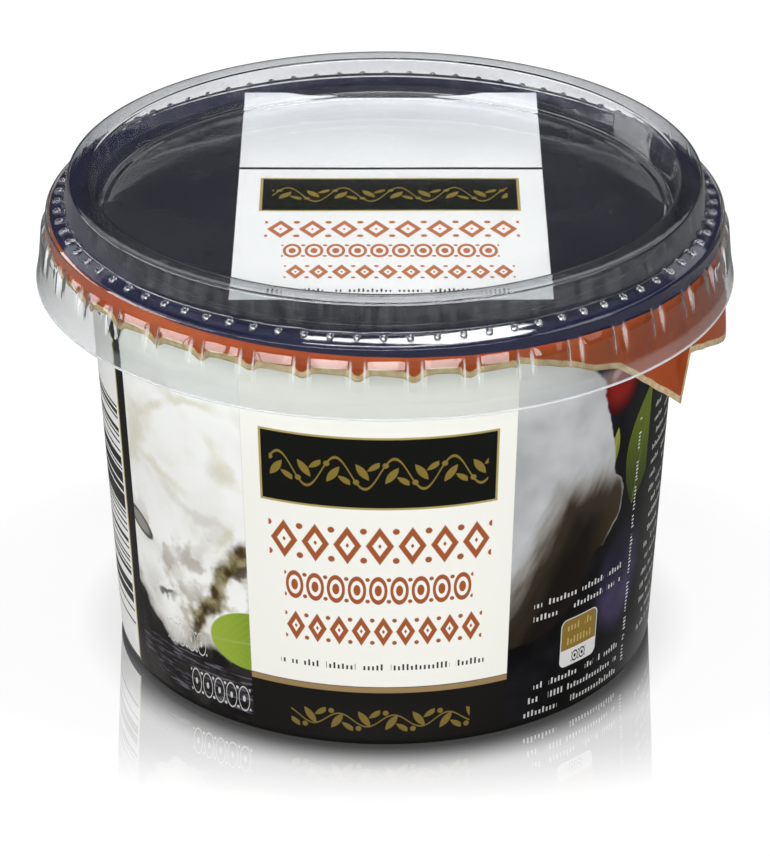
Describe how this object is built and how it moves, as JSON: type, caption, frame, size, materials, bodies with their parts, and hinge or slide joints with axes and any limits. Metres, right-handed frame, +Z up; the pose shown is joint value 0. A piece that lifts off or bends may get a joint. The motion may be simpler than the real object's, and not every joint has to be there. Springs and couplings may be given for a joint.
{
  "type": "sealed burrata tub",
  "caption": "Sealed round dairy tub of burrata: printed tapered body, peel-off lid folded over the rim with a pull tab, and a clear press-on lid with a stacking ring.",
  "frame": {"origin": "middle of the foot, on the surface that the tub stands on", "axes": "+Z up along the tub's axis, -Y to the front of the tub, +X to its right as seen from the front"},
  "size_m": [0.0998, 0.0998, 0.0721],
  "materials": {
    "tub_print": "white moulded plastic with a printed satin-gloss label all round",
    "lid_print": "printed peel-off laminate, charcoal on top with a terracotta border and a beige cut edge",
    "clear_plastic": "thin clear thermoformed sheet, glossy"
  },
  "bodies": {
    "root": {"tub": "tub_print", "film_lid": "lid_print", "clear_lid": "clear_plastic"}
  },
  "joints": []
}
